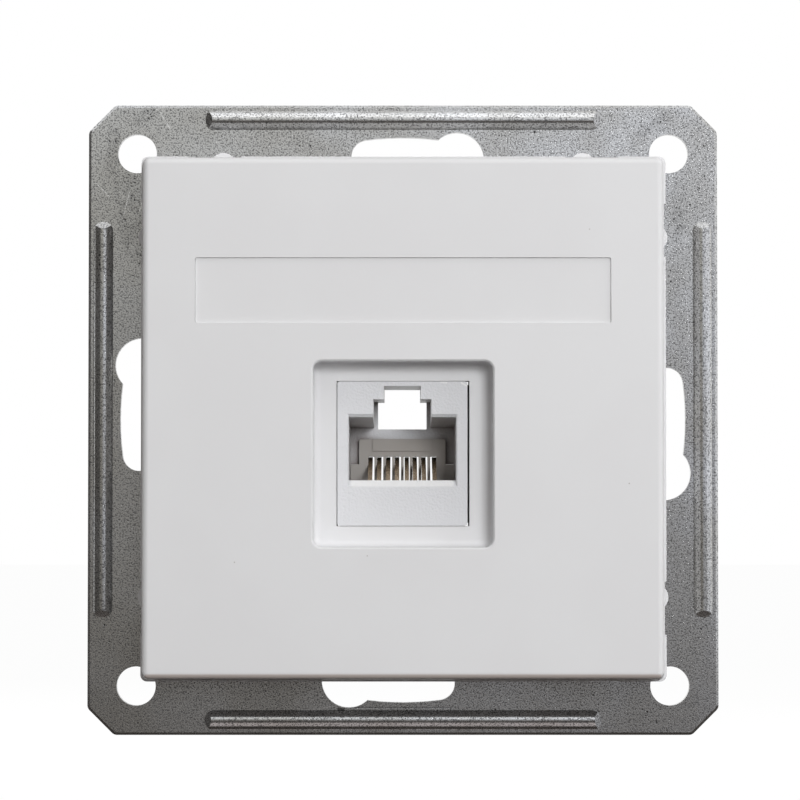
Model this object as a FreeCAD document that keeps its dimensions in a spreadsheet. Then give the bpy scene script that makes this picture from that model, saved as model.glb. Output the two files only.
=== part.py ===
import FreeCAD, Part
import Sketcher
import math
import operator
import os
from types import SimpleNamespace

# Ethernet wall socket: a square steel mounting plate with a clip-on moulded cover, and a keystone
# jack held in a carrier behind it. Sizes are in mm. +X is right, +Z is up and the front faces -Y.
# The origin is the plate's centre on its rear face, which lies against the wall.

SIZES = {
    # Mounting plate, stamped from galvanised sheet
    "plate_side": 71.0,
    "plate_gauge": 1.0,
    "plate_corner_cut": 3.0,
    "plate_corner_round": 0.8,
    "plate_edge_bevel": 0.3,
    "corner_hole_margin": 5.5,
    "corner_hole_radius": 2.2,
    "keyhole_ring": 30.0,
    "keyhole_half_width": 1.85,
    "keyhole_tail_angle": 7.6,
    "keyhole_eye_angle": 11.7,
    "keyhole_eye_radius": 3.05,
    "bead_margin": 1.7,
    "bead_length": 44.6,
    "bead_end_slope": 0.8,
    "bead_width": 2.2,
    "bead_height": 0.8,
    "bead_groove_width": 1.1,
    "bead_groove_depth": 0.8,
    "window_side": 36.0,
    "window_corner_reach": 27.0,
    # Cover, moulded
    "cover_side": 58.7,
    "cover_height": 8.4,
    "cover_draft": 4.2,
    "cover_round": 0.75,
    "cover_wall": 1.4,
    "cover_panel": 1.7,
    "flange_proud": 0.13,
    "flange_shift": 0.06,
    "flange_height": 1.4,
    "notch_start": 18.25,
    "notch_end": 24.2,
    "pip_offset": 20.2,
    "pip_radius": 1.45,
    "pip_proud": 0.4,
    "pip_rise": 0.2,
    "recess_width": 19.9,
    "recess_height": 20.55,
    "recess_drop": 4.05,
    "recess_depth": 4.0,
    "recess_floor": 1.2,
    "recess_wall": 1.4,
    "recess_corner_round": 1.0,
    "recess_rim_bevel": 0.18,
    "recess_floor_round": 0.8,
    # Snap hooks of the cover and their slots in the plate
    "hook_offset": 22.9,
    "hook_width": 7.0,
    "hook_leg": 1.3,
    "hook_catch": 0.7,
    "hook_catch_height": 1.2,
    "hook_gap": 0.05,
    "hook_slot_play": 0.25,
    # Label window
    "label_width": 45.9,
    "label_height": 7.25,
    "label_rise": 14.03,
    "label_seat": 1.0,
    "label_sink": 0.25,
    "label_corner_round": 0.25,
    "label_play": 0.02,
    # Module holder behind the plate
    "holder_side": 43.0,
    "holder_flange": 2.0,
    "holder_corner_round": 3.0,
    "holder_lip": 2.0,
    "holder_wall": 1.6,
    "holder_tail": 5.0,
    "holder_relief": 2.8,
    "boss_radius": 2.9,
    "boss_height": 4.5,
    "boss_floor": 1.0,
    "gusset_thickness": 1.2,
    "gusset_reach": 4.5,
    # Screws of the holder
    "screw_offset": 16.8,
    "screw_radius": 1.35,
    "screw_length": 6.0,
    "screw_play": 0.04,
    "screw_hole_play": 0.3,
    "screw_head_radius": 2.6,
    "screw_head_height": 1.5,
    "screw_head_bevel": 0.6,
    "screw_slot_width": 0.7,
    "screw_slot_depth": 0.7,
    # Keystone jack
    "module_drop": 3.93,
    "module_side_play": 0.3,
    "module_end_play": 0.1,
    "jack_width": 14.48,
    "jack_height": 16.07,
    "jack_shift": 0.07,
    "jack_proud": 0.1,
    "jack_edge_round": 0.3,
    "jack_rib": 1.5,
    "port_side_bevel": 0.15,
    "jack_floor": 0.8,
    "jack_back_wall": 2.2,
    "port_width": 11.96,
    "port_height": 7.04,
    "port_floor_drop": 2.97,
    "port_depth": 12.1,
    "port_ceiling_drop": 0.95,
    "port_brow": 0.34,
    "lip_length": 1.6,
    "lip_bevel": 0.71,
    "latch_step_width": 6.5,
    "latch_step_rise": 1.99,
    "latch_top_width": 4.1,
    "latch_top_rise": 3.47,
    "window_width": 5.58,
    "window_sill_drop": 1.12,
    "lug_length": 2.8,
    "lug_depth": 1.6,
    "lug_width": 9.0,
    "arm_length": 6.0,
    "arm_rise": 1.0,
    "arm_tongue": 1.0,
    "arm_tongue_length": 1.6,
    "latch_arm": 1.0,
    "latch_arm_gap": 1.2,
    "latch_arm_width": 8.0,
    "latch_hook": 1.4,
    "seat_play": 0.1,
    # Contact carrier
    "hat_width": 9.9,
    "hat_top": 4.78,
    "hat_shoulder": 1.88,
    "hat_round": 0.2,
    "hat_proud": 0.8,
    "hat_length": 3.6,
    "hat_play": 0.04,
    "tab_width": 6.84,
    "tab_height": 1.37,
    "tab_proud": 0.2,
    "comb_top": 2.8,
    "comb_bottom": 0.6,
    "comb_slot": 0.7,
    "carrier_slab": 1.1,
    "carrier_play": 0.25,
    # Spring contacts
    "contact_pitch": 1.016,
    "contact_width": 0.5,
    "contact_thickness": 0.26,
    "contact_shift": 0.09,
    "contact_bend": 0.5,
    "contact_bend_drop": 1.0,
    "contact_front": 0.8,
    "contact_tip_drop": 0.17,
    "contact_tail": 0.4,
    # Circuit board
    "board_drop": 2.5,
    "board_thickness": 1.2,
    "board_margin": 2.0,
    "board_hole": 0.6,
    # Wire terminal block and its forks
    "block_gap": 0.1,
    "block_base": 1.6,
    "block_wall": 4.1,
    "block_post": 8.2,
    "block_margin": 2.1,
    "fork_pitch": 3.4,
    "fork_width": 2.4,
    "fork_thickness": 0.5,
    "fork_height": 6.2,
    "fork_gap": 0.36,
    "fork_gap_depth": 4.4,
    "fork_mouth": 0.36,
    "fork_pin_width": 0.44,
    "fork_offset": 4.9,
    "fork_play": 0.06,
    "wire_slot": 1.3,
    "wire_slot_depth": 5.6,
    "post_taper": 0.8,
}

CONTACTS = 8
LEANS = (-1, -1, -1, -1, 0, -1, -1, 1)  # which side of its slot each contact stands nearer
FORKS_IN_A_ROW = 4
CORNERS = 4
TOLERANCE = 0.01  # mm, within which two places along an edge count as one

doc = FreeCAD.newDocument("wall_socket")


class Size:
    """A number that keeps the sheet formula it was worked out with."""

    def __init__(self, value, formula):
        self.value = value
        self.formula = formula

    def __add__(self, other):
        return joined(self, "+", other)

    def __radd__(self, other):
        return joined(other, "+", self)

    def __sub__(self, other):
        return joined(self, "-", other)

    def __rsub__(self, other):
        return joined(other, "-", self)

    def __mul__(self, other):
        return joined(self, "*", other)

    def __rmul__(self, other):
        return joined(other, "*", self)

    def __truediv__(self, other):
        return joined(self, "/", other)

    def __neg__(self):
        return joined(0, "-", self)


SIGNS = {"+": operator.add, "-": operator.sub, "*": operator.mul, "/": operator.truediv}


def as_size(number):
    return number if isinstance(number, Size) else Size(number, f"({number})")


def joined(left, sign, right):
    left, right = as_size(left), as_size(right)
    value = SIGNS[sign](left.value, right.value)
    return Size(value, f"({left.formula} {sign} {right.formula})")


def sine(angle):
    return Size(math.sin(math.radians(angle.value)), f"sin({angle.formula})")


def cosine(angle):
    return Size(math.cos(math.radians(angle.value)), f"cos({angle.formula})")


def fill_sheet(values):
    """Write the driving sizes to a sheet, and hand them back as bound sizes."""
    sheet = doc.addObject("Spreadsheet::Sheet", "Sizes")
    for row, (name, value) in enumerate(values.items(), start=1):
        sheet.set(f"A{row}", name)
        sheet.set(f"B{row}", str(value))
        sheet.setAlias(f"B{row}", name)
    doc.recompute()
    return SimpleNamespace(**{name: Size(value, f"Sizes.{name}") for name, value in values.items()})


s = fill_sheet(SIZES)

# Places across the plate, from its edge inwards
corner_hole_place = s.plate_side / 2 - s.corner_hole_margin
bead_place = s.plate_side / 2 - s.bead_margin

# Places along Y, from the front of the cover to the back of the jack
plate_front = -s.plate_gauge
cover_front = plate_front - s.cover_height
recess_floor_front = cover_front + s.recess_depth
holder_front = recess_floor_front + s.recess_floor
lip_back = holder_front + s.holder_lip
jack_front = recess_floor_front - s.jack_proud
port_back = jack_front + s.port_depth
jack_back = port_back + s.jack_back_wall
hat_front = port_back - s.hat_proud
hat_back = hat_front + s.hat_length
lip_end = jack_front + s.lip_length
contact_line = lip_end + s.contact_front
slab_front = lip_end + s.carrier_play

# Places along Z of the jack and what it holds
module_height = -s.module_drop
jack_top = module_height + s.jack_height / 2
jack_bottom = module_height - s.jack_height / 2
port_floor = module_height - s.port_floor_drop
port_top = port_floor + s.port_height
board_top = port_floor - s.board_drop
board_bottom = board_top - s.board_thickness

# Places across X of the jack
jack_centre = -s.jack_shift
opening_width = s.jack_width + s.module_side_play
opening_height = s.jack_height + s.module_end_play
board_reach = s.port_width / 2 - s.carrier_play

# Places of the wire terminal block
block_front = jack_back + s.block_gap
block_foot = board_bottom - s.block_base
block_tip = block_foot - s.block_post

zero = Size(0.0, "0")


def fork_place(number):
    """Where along Y the fork of this number in its row stands."""
    return block_front + s.block_margin + s.fork_pitch * (number - 0.5)


def bind(thing, name, size):
    thing.setExpression(name, size.formula)


def new_body(label):
    body = doc.addObject("PartDesign::Body", label)
    body.Label = label
    return body


def origin_part(body, role):
    return next(part for part in body.Origin.OriginFeatures if part.Role == role)


def new_sketch(body, name, role, offset):
    """A sketch on one of the body's origin planes, moved by offset in the plane's own axes."""
    sketch = body.newObject("Sketcher::SketchObject", name)
    sketch.AttachmentSupport = [(origin_part(body, role), "")]
    sketch.MapMode = "FlatFace"
    for axis, amount in zip("xyz", offset):
        bind(sketch, f"AttachmentOffset.Base.{axis}", as_size(amount))
    return sketch


def front_sketch(body, name, depth):
    """Facing the viewer at the given Y: across is X, up is Z, and a pad grows towards -Y."""
    return new_sketch(body, name, "XZ_Plane", (0, 0, -as_size(depth)))


def side_sketch(body, name, across):
    """Seen from the right at the given X: across is Y, up is Z."""
    return new_sketch(body, name, "YZ_Plane", (0, 0, across))


def top_sketch(body, name, height):
    """Seen from above at the given Z: across is X, up is Y, and a pad grows towards +Z."""
    return new_sketch(body, name, "XY_Plane", (0, 0, height))


def hold(sketch, constraint, size):
    index = sketch.addConstraint(constraint)
    bind(sketch, f"Constraints[{index}]", size)


def pin(sketch, shape, point, across, up):
    """Hold one point of a sketch at bound distances from the sketch's origin."""
    hold(sketch, Sketcher.Constraint("DistanceX", -1, 1, shape, point, across.value), across)
    hold(sketch, Sketcher.Constraint("DistanceY", -1, 1, shape, point, up.value), up)


def vector(across, up):
    return FreeCAD.Vector(across.value, up.value, 0)


def polygon(sketch, points):
    points = [(as_size(across), as_size(up)) for across, up in points]
    first, count = sketch.GeometryCount, len(points)
    corners = [vector(*point) for point in points]
    for i in range(count):
        sketch.addGeometry(Part.LineSegment(corners[i], corners[(i + 1) % count]), False)
    for i in range(count):
        sketch.addConstraint(Sketcher.Constraint("Coincident", first + i, 2, first + (i + 1) % count, 1))
    for i, point in enumerate(points):
        pin(sketch, first + i, 1, *point)


def rectangle(sketch, left, right, low, high):
    polygon(sketch, [(left, low), (right, low), (right, high), (left, high)])


def centred(sketch, across, up, width, height):
    rectangle(sketch, across - width / 2, across + width / 2, up - height / 2, up + height / 2)


def circle(sketch, across, up, radius):
    across, up = as_size(across), as_size(up)
    shape = sketch.GeometryCount
    sketch.addGeometry(Part.Circle(vector(across, up), FreeCAD.Vector(0, 0, 1), radius.value), False)
    pin(sketch, shape, 3, across, up)
    hold(sketch, Sketcher.Constraint("Radius", shape, radius.value), radius)


def arc(sketch, centre, radius, start, end):
    """An arc about centre, from start to end in degrees, anticlockwise."""
    ring = Part.Circle(centre, FreeCAD.Vector(0, 0, 1), radius)
    sketch.addGeometry(Part.ArcOfCircle(ring, math.radians(start), math.radians(end)), False)


def rounded_box(sketch, across, up, width, height, radius):
    """A rectangle with rounded corners: four arcs held at their centres, tied by tangent lines."""
    first = sketch.GeometryCount
    spread = [(width / 2 - radius) * side for side in (1, -1, -1, 1)]
    rise = [(height / 2 - radius) * side for side in (1, 1, -1, -1)]
    centres = [(across + a, up + b) for a, b in zip(spread, rise)]
    for quarter, centre in enumerate(centres):
        arc(sketch, vector(*centre), radius.value, 90 * quarter, 90 * (quarter + 1))
    for quarter, centre in enumerate(centres):
        turned = math.radians(90 * (quarter + 1))
        step = FreeCAD.Vector(math.cos(turned), math.sin(turned), 0) * radius.value
        follower = centres[(quarter + 1) % 4]
        sketch.addGeometry(Part.LineSegment(vector(*centre) + step, vector(*follower) + step), False)
    for quarter, centre in enumerate(centres):
        line, corner = first + 4 + quarter, first + (quarter + 1) % 4
        sketch.addConstraint(Sketcher.Constraint("Tangent", first + quarter, 2, line, 1))
        sketch.addConstraint(Sketcher.Constraint("Tangent", line, 2, corner, 1))
        pin(sketch, first + quarter, 3, *centre)
        hold(sketch, Sketcher.Constraint("Radius", first + quarter, radius.value), radius)


def add_feature(body, kind, name):
    feature = body.newObject(f"PartDesign::{kind}", name)
    body.Tip = feature
    return feature


def pad(body, sketch, length, back=False, both=False):
    """Grow a sketch towards its normal, away from it (back) or half each way (both)."""
    feature = add_feature(body, "Pad", f"{sketch.Name}_pad")
    feature.Profile = sketch
    feature.Reversed = back
    feature.Midplane = both
    bind(feature, "Length", length)
    return feature


def pocket(body, sketch, length, back=False, both=False):
    """Cut a sketch against its normal, along it (back) or half each way (both)."""
    before = solid_volume(body)
    feature = add_feature(body, "Pocket", f"{sketch.Name}_pocket")
    feature.Profile = sketch
    feature.Reversed = back
    feature.Midplane = both
    bind(feature, "Length", length)
    if solid_volume(body) >= before:
        raise RuntimeError(f"{feature.Name} cuts nothing")
    return feature


def solid_volume(body):
    doc.recompute()
    return body.Shape.Volume


def around(body, features, name):
    """Repeat features at each corner or side of the square, round the Y axis."""
    pattern = add_feature(body, "PolarPattern", name)
    pattern.Originals = features
    pattern.Axis = (origin_part(body, "Y_Axis"), [""])
    pattern.Angle = 360
    pattern.Occurrences = CORNERS
    return pattern


def revolved(body, profile):
    """Turn a sketch right round its own level axis."""
    feature = add_feature(body, "Revolution", f"{profile.Name}_turned")
    feature.Profile = profile
    feature.ReferenceAxis = (profile, ["H_Axis"])
    feature.Angle = 360
    return feature


def in_line(body, features, role, pitch, count, name):
    """Repeat features along one of the body's axes."""
    pattern = add_feature(body, "LinearPattern", name)
    pattern.Originals = features
    pattern.Direction = (origin_part(body, role), [""])
    pattern.Occurrences = count
    bind(pattern, "Length", pitch * (count - 1))
    return pattern


def mirrored(body, features, role, name):
    pattern = add_feature(body, "Mirrored", name)
    pattern.Originals = features
    pattern.MirrorPlane = (origin_part(body, role), [""])
    return pattern


def dress(body, kind, size_name, size, name, wanted):
    """Round or bevel the edges of the body so far that wanted picks."""
    doc.recompute()
    base = body.Tip
    edges = [f"Edge{i}" for i, edge in enumerate(base.Shape.Edges, start=1) if wanted(edge)]
    if not edges:
        raise RuntimeError(f"{name} finds no edge")
    feature = add_feature(body, kind, name)
    feature.Base = (base, edges)
    bind(feature, size_name, size)
    return feature


def fillet(body, radius, name, wanted):
    return dress(body, "Fillet", "Radius", radius, name, wanted)


def chamfer(body, size, name, wanted):
    return dress(body, "Chamfer", "Size", size, name, wanted)


def near(a, b):
    return abs(a - b) < TOLERANCE


def flat_at(edge, axis, place):
    """True if the whole edge lies at this coordinate, such as on one plane of Y."""
    box = edge.BoundBox
    low, high = {"x": (box.XMin, box.XMax), "y": (box.YMin, box.YMax), "z": (box.ZMin, box.ZMax)}[axis]
    return near(low, place.value) and near(high, place.value)


def inside(edge, across, up, width, height):
    """True if the edge's box lies within a rectangle seen from the front."""
    box = edge.BoundBox
    half_width, half_height = width.value / 2 + TOLERANCE, height.value / 2 + TOLERANCE
    return (
        box.XMin >= across.value - half_width
        and box.XMax <= across.value + half_width
        and box.ZMin >= up.value - half_height
        and box.ZMax <= up.value + half_height
    )


def runs_along_y(edge, length):
    return near(edge.BoundBox.YLength, length.value)


def cut_square(half, cut):
    """The points of a square with its corners cut off."""
    return [
        (-half + cut, -half),
        (half - cut, -half),
        (half, -half + cut),
        (half, half - cut),
        (half - cut, half),
        (-half + cut, half),
        (-half, half - cut),
        (-half, -half + cut),
    ]


def mounting_plate():
    body = new_body("mounting_plate")
    outline = front_sketch(body, "plate_outline", zero)
    polygon(outline, cut_square(s.plate_side / 2, s.plate_corner_cut))
    pad(body, outline, s.plate_gauge)
    fillet(body, s.plate_corner_round, "plate_corners", lambda edge: runs_along_y(edge, s.plate_gauge))
    chamfer(body, s.plate_edge_bevel, "plate_edge", lambda edge: flat_at(edge, "y", plate_front))

    window = front_sketch(body, "plate_window", plate_front)
    polygon(window, cut_square(s.window_side / 2, s.window_side - s.window_corner_reach))
    pocket(body, window, s.plate_gauge)

    hole = front_sketch(body, "plate_corner_hole", plate_front)
    circle(hole, corner_hole_place, corner_hole_place, s.corner_hole_radius)
    corner_hole = pocket(body, hole, s.plate_gauge)
    eye = front_sketch(body, "plate_keyhole_eye", plate_front)
    eye_across = s.keyhole_ring * sine(s.keyhole_eye_angle)
    eye_up = s.keyhole_ring * cosine(s.keyhole_eye_angle)
    circle(eye, eye_across, eye_up, s.keyhole_eye_radius)
    keyhole_eye = pocket(body, eye, s.plate_gauge)
    keyhole_tail = pocket(body, keyhole_sketch(body), s.plate_gauge)
    screw = front_sketch(body, "plate_screw_hole", plate_front)
    circle(screw, s.screw_offset, s.screw_offset, s.screw_radius + s.screw_hole_play)
    screw_hole = pocket(body, screw, s.plate_gauge)
    slot = front_sketch(body, "plate_hook_slot", plate_front)
    play = s.hook_slot_play
    slot_low, slot_high = s.hook_offset - play, s.hook_offset + s.hook_leg + play
    slot_reach = s.hook_width / 2 + play
    rectangle(slot, -slot_reach, slot_reach, slot_low, slot_high)
    hook_slot = pocket(body, slot, s.plate_gauge)
    around(body, [corner_hole, keyhole_eye, keyhole_tail, screw_hole, hook_slot], "plate_holes")
    plate_beads(body)
    return body


def plate_beads(body):
    """The pressed bead along each side: a domed ridge with rounded ends, and its groove behind."""
    half = s.bead_width / 2
    crown, bead_end = plate_front - s.bead_height, s.bead_length / 2
    ridge = new_sketch(body, "plate_bead", "YZ_Plane", (0, bead_place, 0))
    dome(ridge, half)
    raised = [pad(body, ridge, s.bead_length, both=True)]
    for name, side in (("right", 1), ("left", -1)):
        corners = front_sketch(body, f"plate_bead_round_{name}", plate_front)
        round_end(corners, (bead_end - half) * side, side)
        raised.append(pocket(body, corners, s.bead_height, back=True))
        slope = top_sketch(body, f"plate_bead_slope_{name}", bead_place)
        foot = bead_end * side
        polygon(slope, [(foot, plate_front), (foot, crown), (foot - s.bead_end_slope * side, crown)])
        raised.append(pocket(body, slope, s.bead_width, both=True))
    around(body, raised, "plate_beads")
    groove = front_sketch(body, "plate_bead_groove", zero)
    centred(groove, zero, bead_place, s.bead_length - s.bead_width, s.bead_groove_width)
    pressed = pocket(body, groove, s.bead_groove_depth, back=True)
    around(body, [pressed], "plate_bead_grooves")


def dome(sketch, half):
    """A bead's cross-section: an arc on a chord that lies in the front of the sheet."""
    radius = (half * half + s.bead_height * s.bead_height) / (s.bead_height * 2)
    centre = vector(plate_front - s.bead_height + radius, zero)
    top, foot = vector(plate_front, half), vector(plate_front, -half)
    opening = math.degrees(math.atan2(top.y, top.x - centre.x))
    arc(sketch, centre, radius.value, opening, 360 - opening)
    sketch.addGeometry(Part.LineSegment(foot, top), False)
    sketch.addConstraint(Sketcher.Constraint("Coincident", 0, 2, 1, 1))
    sketch.addConstraint(Sketcher.Constraint("Coincident", 1, 2, 0, 1))
    pin(sketch, 0, 1, plate_front, half)
    pin(sketch, 0, 2, plate_front, -half)
    hold(sketch, Sketcher.Constraint("Radius", 0, radius.value), radius)


def round_end(sketch, middle, side):
    """What lies outside a bead's round end, seen from the front: a box less a half circle."""
    half = s.bead_width / 2
    far = middle + (half + s.bead_height) * side
    low, high = bead_place - half * side, bead_place + half * side
    arc(sketch, vector(middle, bead_place), half.value, -90 * side, 180 - 90 * side)
    corners = [vector(middle, high), vector(far, high), vector(far, low), vector(middle, low)]
    for corner, follower in zip(corners, corners[1:]):
        sketch.addGeometry(Part.LineSegment(corner, follower), False)
    for shape in range(4):
        sketch.addConstraint(Sketcher.Constraint("Coincident", shape, 2, (shape + 1) % 4, 1))
    pin(sketch, 0, 3, middle, bead_place)
    hold(sketch, Sketcher.Constraint("Radius", 0, half.value), half)
    for point in (1, 2):
        hold(sketch, Sketcher.Constraint("DistanceX", -1, 1, 0, point, middle.value), middle)
    pin(sketch, 1, 2, far, high)
    pin(sketch, 2, 2, far, low)


def keyhole_sketch(body):
    """The narrow curved part of a keyhole: an arc slot on the screw circle, above the centre."""
    sketch = front_sketch(body, "plate_keyhole_tail", plate_front)
    ring, half_width = s.keyhole_ring, s.keyhole_half_width
    tail, eye = s.keyhole_tail_angle, s.keyhole_eye_angle
    centre = FreeCAD.Vector(0, 0, 0)
    start, end = 90 - eye.value, 90 + tail.value
    tail_centre = vector(-ring * sine(tail), ring * cosine(tail))
    eye_centre = vector(ring * sine(eye), ring * cosine(eye))
    arc(sketch, centre, (ring + half_width).value, start, end)
    arc(sketch, tail_centre, half_width.value, end, end + 180)
    arc(sketch, centre, (ring - half_width).value, start, end)
    arc(sketch, eye_centre, half_width.value, start - 180, start)
    sketch.addConstraint(Sketcher.Constraint("Coincident", 0, 3, -1, 1))
    sketch.addConstraint(Sketcher.Constraint("Coincident", 2, 3, -1, 1))
    sketch.addConstraint(Sketcher.Constraint("Tangent", 0, 2, 1, 1))
    sketch.addConstraint(Sketcher.Constraint("Tangent", 1, 2, 2, 2))
    sketch.addConstraint(Sketcher.Constraint("Tangent", 2, 1, 3, 1))
    sketch.addConstraint(Sketcher.Constraint("Tangent", 3, 2, 0, 1))
    pin(sketch, 1, 3, -ring * sine(tail), ring * cosine(tail))
    across = ring * sine(eye)
    hold(sketch, Sketcher.Constraint("DistanceX", -1, 1, 3, 3, across.value), across)
    hold(sketch, Sketcher.Constraint("Radius", 1, half_width.value), half_width)
    return sketch


def cover():
    body = new_body("cover")
    outside = front_sketch(body, "cover_outside", plate_front)
    centred(outside, zero, zero, s.cover_side, s.cover_side)
    shell = pad(body, outside, s.cover_height)
    bind(shell, "TaperAngle", -s.cover_draft)
    fillet(body, s.cover_round, "cover_edges", lambda edge: not flat_at(edge, "y", plate_front))

    inside_side = s.cover_side - s.cover_wall * 2
    hollow = front_sketch(body, "cover_hollow", plate_front)
    centred(hollow, zero, zero, inside_side, inside_side)
    hollowed = pocket(body, hollow, s.cover_height - s.cover_panel, back=True)
    bind(hollowed, "TaperAngle", -s.cover_draft)

    recess_up = -s.recess_drop
    box = front_sketch(body, "cover_recess_box", holder_front)
    box_width = s.recess_width + s.recess_wall * 2
    box_height = s.recess_height + s.recess_wall * 2
    rounded_box(box, zero, recess_up, box_width, box_height, s.recess_corner_round)
    pad(body, box, s.recess_depth + s.recess_floor - s.cover_panel / 2)
    recess = front_sketch(body, "cover_recess", cover_front)
    rounded_box(recess, zero, recess_up, s.recess_width, s.recess_height, s.recess_corner_round)
    pocket(body, recess, s.recess_depth)
    chamfer(body, s.recess_rim_bevel, "cover_recess_rim", lambda edge: at_recess(edge, cover_front))
    fillet(body, s.recess_floor_round, "cover_recess_floor", lambda edge: at_recess(edge, recess_floor_front))
    opening = front_sketch(body, "cover_opening", recess_floor_front)
    centred(opening, zero, module_height, opening_width, opening_height)
    pocket(body, opening, s.recess_floor)

    seat = front_sketch(body, "cover_label_seat", cover_front)
    rounded_box(seat, zero, s.label_rise, s.label_width, s.label_height, s.label_corner_round)
    pocket(body, seat, s.label_seat)

    cover_flange(body)
    cover_hooks(body)
    return body


def at_recess(edge, place):
    """True for an edge of the recess that lies at this place along Y."""
    within = inside(edge, zero, -s.recess_drop, s.recess_width, s.recess_height)
    return within and flat_at(edge, "y", place)


def cover_flange(body):
    """The thin lip round the foot of the cover, with its notches and gripping pips."""
    outer = s.cover_side / 2 + s.flange_proud
    inner = s.cover_side / 2 - s.cover_wall / 2
    lip = front_sketch(body, "cover_flange", plate_front)
    ring_side = outer * 2
    rounded_box(lip, s.flange_shift, s.flange_shift, ring_side, ring_side, s.cover_round)
    centred(lip, zero, zero, inner * 2, inner * 2)
    pad(body, lip, s.flange_height)
    cuts = []
    for name, start, end in (
        ("right", s.notch_start, s.notch_end),
        ("left", -s.notch_end, -s.notch_start),
    ):
        notch = front_sketch(body, f"cover_notch_{name}", plate_front)
        rectangle(notch, start, end, s.cover_side / 2, outer + s.flange_shift * 2)
        cuts.append(pocket(body, notch, s.flange_height, back=True))
    around(body, cuts, "cover_notches")
    pips = front_sketch(body, "cover_pips", plate_front)
    pip_place = s.cover_side / 2 + s.pip_proud - s.pip_radius
    for edge_side in (1, -1):
        for offset in (s.pip_offset, -s.pip_offset):
            circle(pips, offset, pip_place * edge_side + s.pip_rise, s.pip_radius)
            circle(pips, pip_place * edge_side, offset + s.pip_rise, s.pip_radius)
    pad(body, pips, s.flange_height)


def cover_hooks(body):
    """Four legs that pass through the plate and catch behind it."""
    root = cover_front + s.cover_panel / 2
    tip = s.hook_gap + s.hook_catch_height
    low, high = s.hook_offset, s.hook_offset + s.hook_leg
    hook = side_sketch(body, "cover_hook", zero)
    polygon(
        hook,
        [
            (root, low),
            (tip, low),
            (tip, high),
            (s.hook_gap, high + s.hook_catch),
            (s.hook_gap, high),
            (root, high),
        ],
    )
    leg = pad(body, hook, s.hook_width, both=True)
    around(body, [leg], "cover_hook_ring")


def label_window():
    body = new_body("label_window")
    back = cover_front + s.label_seat
    outline = front_sketch(body, "label_outline", back)
    width = s.label_width - s.label_play * 2
    height = s.label_height - s.label_play * 2
    rounded_box(outline, zero, s.label_rise, width, height, s.label_corner_round)
    pad(body, outline, s.label_seat - s.label_sink)
    return body


def module_holder():
    body = new_body("module_holder")
    flange = front_sketch(body, "holder_flange", zero)
    rounded_box(flange, zero, zero, s.holder_side, s.holder_side, s.holder_corner_round)
    pad(body, flange, s.holder_flange, back=True)

    cavity_width = opening_width + s.seat_play * 2
    cavity_height = opening_height + s.holder_relief * 2
    tower_width = cavity_width + s.holder_wall * 2
    tower_height = cavity_height + s.holder_wall * 2
    tower = front_sketch(body, "holder_tower", holder_front)
    centred(tower, zero, module_height, tower_width, tower_height)
    tail = s.holder_flange + s.holder_tail
    pad(body, tower, tail - holder_front, back=True)

    rib = top_sketch(body, "holder_gusset", module_height)
    foot = tower_width / 2 + s.gusset_reach
    root = tower_width / 2 - s.holder_wall / 2
    bed = s.holder_flange / 2
    polygon(rib, [(root, bed), (foot, bed), (root, lip_back)])
    right_rib = pad(body, rib, s.gusset_thickness, both=True)
    mirrored(body, [right_rib], "YZ_Plane", "holder_gussets")

    boss = front_sketch(body, "holder_boss", s.holder_flange)
    circle(boss, s.screw_offset, s.screw_offset, s.boss_radius)
    boss_pad = pad(body, boss, s.boss_height, back=True)
    bore = front_sketch(body, "holder_bore", zero)
    circle(bore, s.screw_offset, s.screw_offset, s.screw_radius + s.screw_play)
    bore_cut = pocket(body, bore, s.holder_flange + s.boss_height - s.boss_floor)
    around(body, [boss_pad, bore_cut], "holder_bosses")

    cavity = front_sketch(body, "holder_cavity", lip_back)
    centred(cavity, zero, module_height, cavity_width, cavity_height)
    pocket(body, cavity, tail - lip_back)
    window = front_sketch(body, "holder_window", holder_front)
    centred(window, zero, module_height, opening_width, opening_height)
    pocket(body, window, s.holder_lip)
    return body


def holder_screws():
    """Four slotted pan-head screws, from the front of the plate into the holder's bosses."""
    body = new_body("holder_screws")
    profile = new_sketch(body, "screw_profile", "YZ_Plane", (0, s.screw_offset, s.screw_offset))
    head, tip = plate_front - s.screw_head_height, plate_front + s.screw_length
    polygon(
        profile,
        [
            (head, zero),
            (head, s.screw_head_radius - s.screw_head_bevel),
            (head + s.screw_head_bevel, s.screw_head_radius),
            (plate_front, s.screw_head_radius),
            (plate_front, s.screw_radius),
            (tip, s.screw_radius),
            (tip, zero),
        ],
    )
    revolved(body, profile)
    slot = front_sketch(body, "screw_slot", head)
    across_head = s.screw_head_radius * 2 + s.screw_slot_width
    centred(slot, s.screw_offset, s.screw_offset, across_head, s.screw_slot_width)
    pocket(body, slot, s.screw_slot_depth)
    ring = around(body, [], "screw_ring")
    ring.TransformMode = "Whole shape"
    return body


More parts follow.
